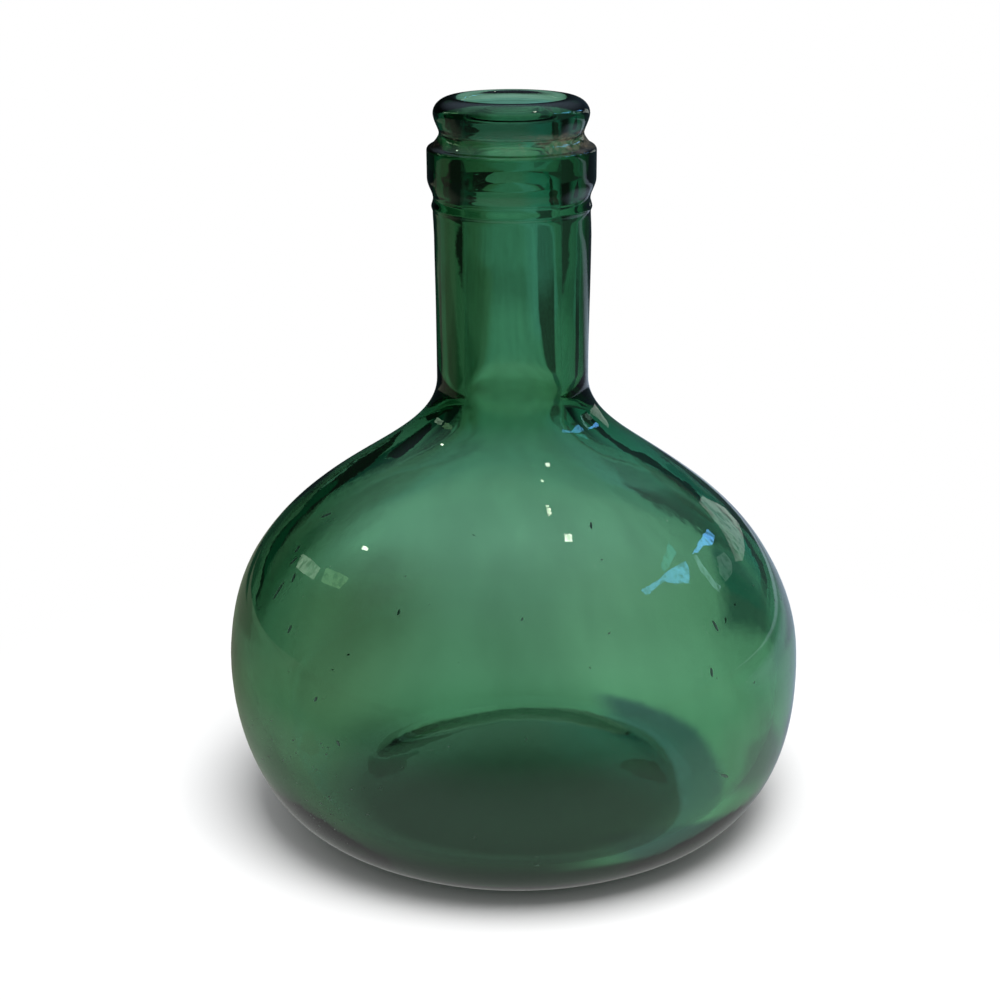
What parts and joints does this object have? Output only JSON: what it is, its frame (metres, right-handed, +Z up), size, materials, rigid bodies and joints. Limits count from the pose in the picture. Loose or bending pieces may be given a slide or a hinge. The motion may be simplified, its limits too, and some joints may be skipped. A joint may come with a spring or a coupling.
{
  "type": "liquor bottle",
  "caption": "Squat round-bodied liquor bottle in thick seedy green glass, with a straight neck, a collared open cork mouth and a shallow push-up in the base.",
  "frame": {"origin": "centre of the base, on the plane of the ring the bottle stands on", "axes": "+Z up along the bottle's axis, from the base to the mouth; the bottle is round, so X and Y are free"},
  "size_m": [0.1194, 0.1194, 0.1504],
  "materials": {
    "green_glass": "glossy, slightly wavy, with small bubbles"
  },
  "bodies": {
    "root": {"blown_vessel": "green_glass", "laid_on_finish": "green_glass"}
  },
  "joints": []
}
